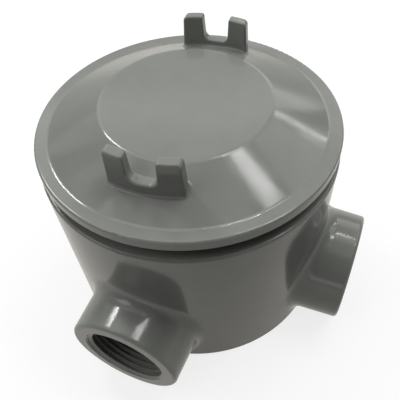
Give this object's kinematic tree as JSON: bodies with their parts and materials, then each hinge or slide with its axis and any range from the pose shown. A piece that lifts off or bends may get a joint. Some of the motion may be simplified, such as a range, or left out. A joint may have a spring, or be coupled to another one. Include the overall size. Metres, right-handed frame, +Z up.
{
  "type": "conduit body",
  "caption": "Round surface conduit body with threaded hubs at a right angle and an eared screw-on cover that seals on an O-ring.",
  "frame": {"origin": "centre of the flat base, on the axis of the body and its cover", "axes": "+Z up along the cover's axis, -Y along the front hub, +X along the side hub"},
  "size_m": [0.1057, 0.1057, 0.0843],
  "materials": {
    "casting_paint": "semi-gloss grey enamel on a casting",
    "cover_paint": "semi-gloss grey enamel on a casting",
    "seal_rubber": "black, satin",
    "screw_brass": "plain brass",
    "washer_brass": "plain brass"
  },
  "bodies": {
    "body": {"body_casting": "casting_paint", "ground_screw": "screw_brass", "ground_washer": "washer_brass"},
    "seal": {"cover_o_ring": "seal_rubber"},
    "cover": {"cover_casting": "cover_paint"}
  },
  "joints": [
    {"name": "cover_lift", "type": "slide", "parent": "body", "child": "seal", "axis": [0, 0, 1], "range_m": [0, 0.011]},
    {"name": "cover_turn", "type": "hinge", "parent": "seal", "child": "cover", "pos_m": [0, 0, 0.0658], "axis": [0, 0, 1], "range_deg": [0, 1980]}
  ],
  "couplings": [
    {"joint": "cover_lift", "follows": "cover_turn", "m_per_rad": 0.00031831}
  ]
}
